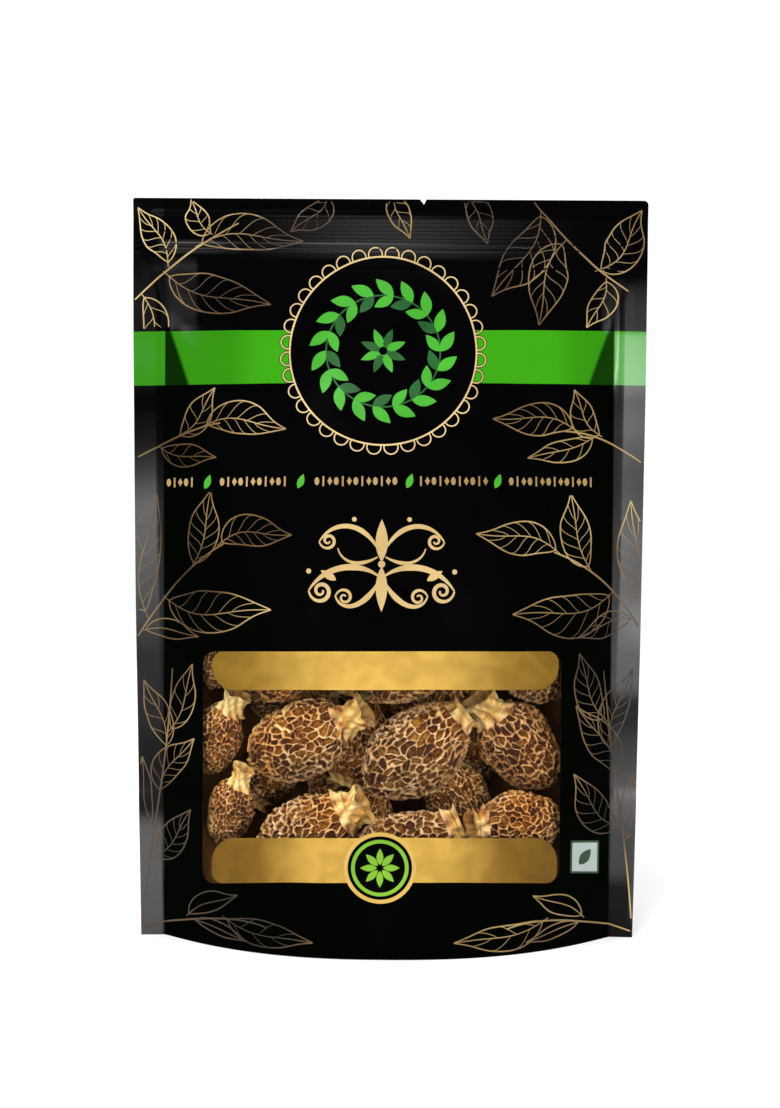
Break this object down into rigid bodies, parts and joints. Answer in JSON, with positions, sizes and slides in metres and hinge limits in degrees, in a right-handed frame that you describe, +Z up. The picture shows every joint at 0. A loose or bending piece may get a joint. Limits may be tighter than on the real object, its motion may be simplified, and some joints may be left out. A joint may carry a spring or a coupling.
{
  "type": "stand-up pouch of dried morel mushrooms",
  "caption": "Stand-up laminate pouch with side seals, press zip, bottom gusset and clear window, filled with whole dried morel mushrooms.",
  "frame": {"origin": "on the surface the pouch stands on, under the middle of its base", "axes": "+X to the right as the front is seen, +Y towards the back, +Z up to the header seal"},
  "size_m": [0.16, 0.052, 0.23],
  "materials": {
    "printed_film": "glossy black laminate film with gold and green print",
    "gusset_film": "satin black laminate film",
    "clear_film": "clear glossy laminate film",
    "zip_plastic": "milky polyethylene",
    "dried_morel": "dry wrinkled mushroom, tan ridges over brown pits, cream stems"
  },
  "bodies": {
    "root": {"front_panel": "printed_film", "back_panel": "printed_film", "bottom_gusset": "gusset_film", "window_pane": "clear_film", "zip_strip_front": "zip_plastic", "zip_strip_back": "zip_plastic", "morel_front_1": "dried_morel", "morel_front_2": "dried_morel", "morel_front_3": "dried_morel", "morel_front_4": "dried_morel", "morel_front_5": "dried_morel", "morel_front_6": "dried_morel", "morel_front_7": "dried_morel", "morel_front_8": "dried_morel", "morel_front_9": "dried_morel", "morel_middle_1": "dried_morel", "morel_middle_2": "dried_morel", "morel_middle_3": "dried_morel", "morel_middle_4": "dried_morel", "morel_middle_5": "dried_morel", "morel_middle_6": "dried_morel", "morel_middle_7": "dried_morel", "morel_middle_8": "dried_morel", "morel_middle_9": "dried_morel", "morel_rear_1": "dried_morel", "morel_rear_2": "dried_morel", "morel_rear_3": "dried_morel", "morel_rear_4": "dried_morel", "morel_rear_5": "dried_morel", "morel_rear_6": "dried_morel"}
  },
  "joints": []
}
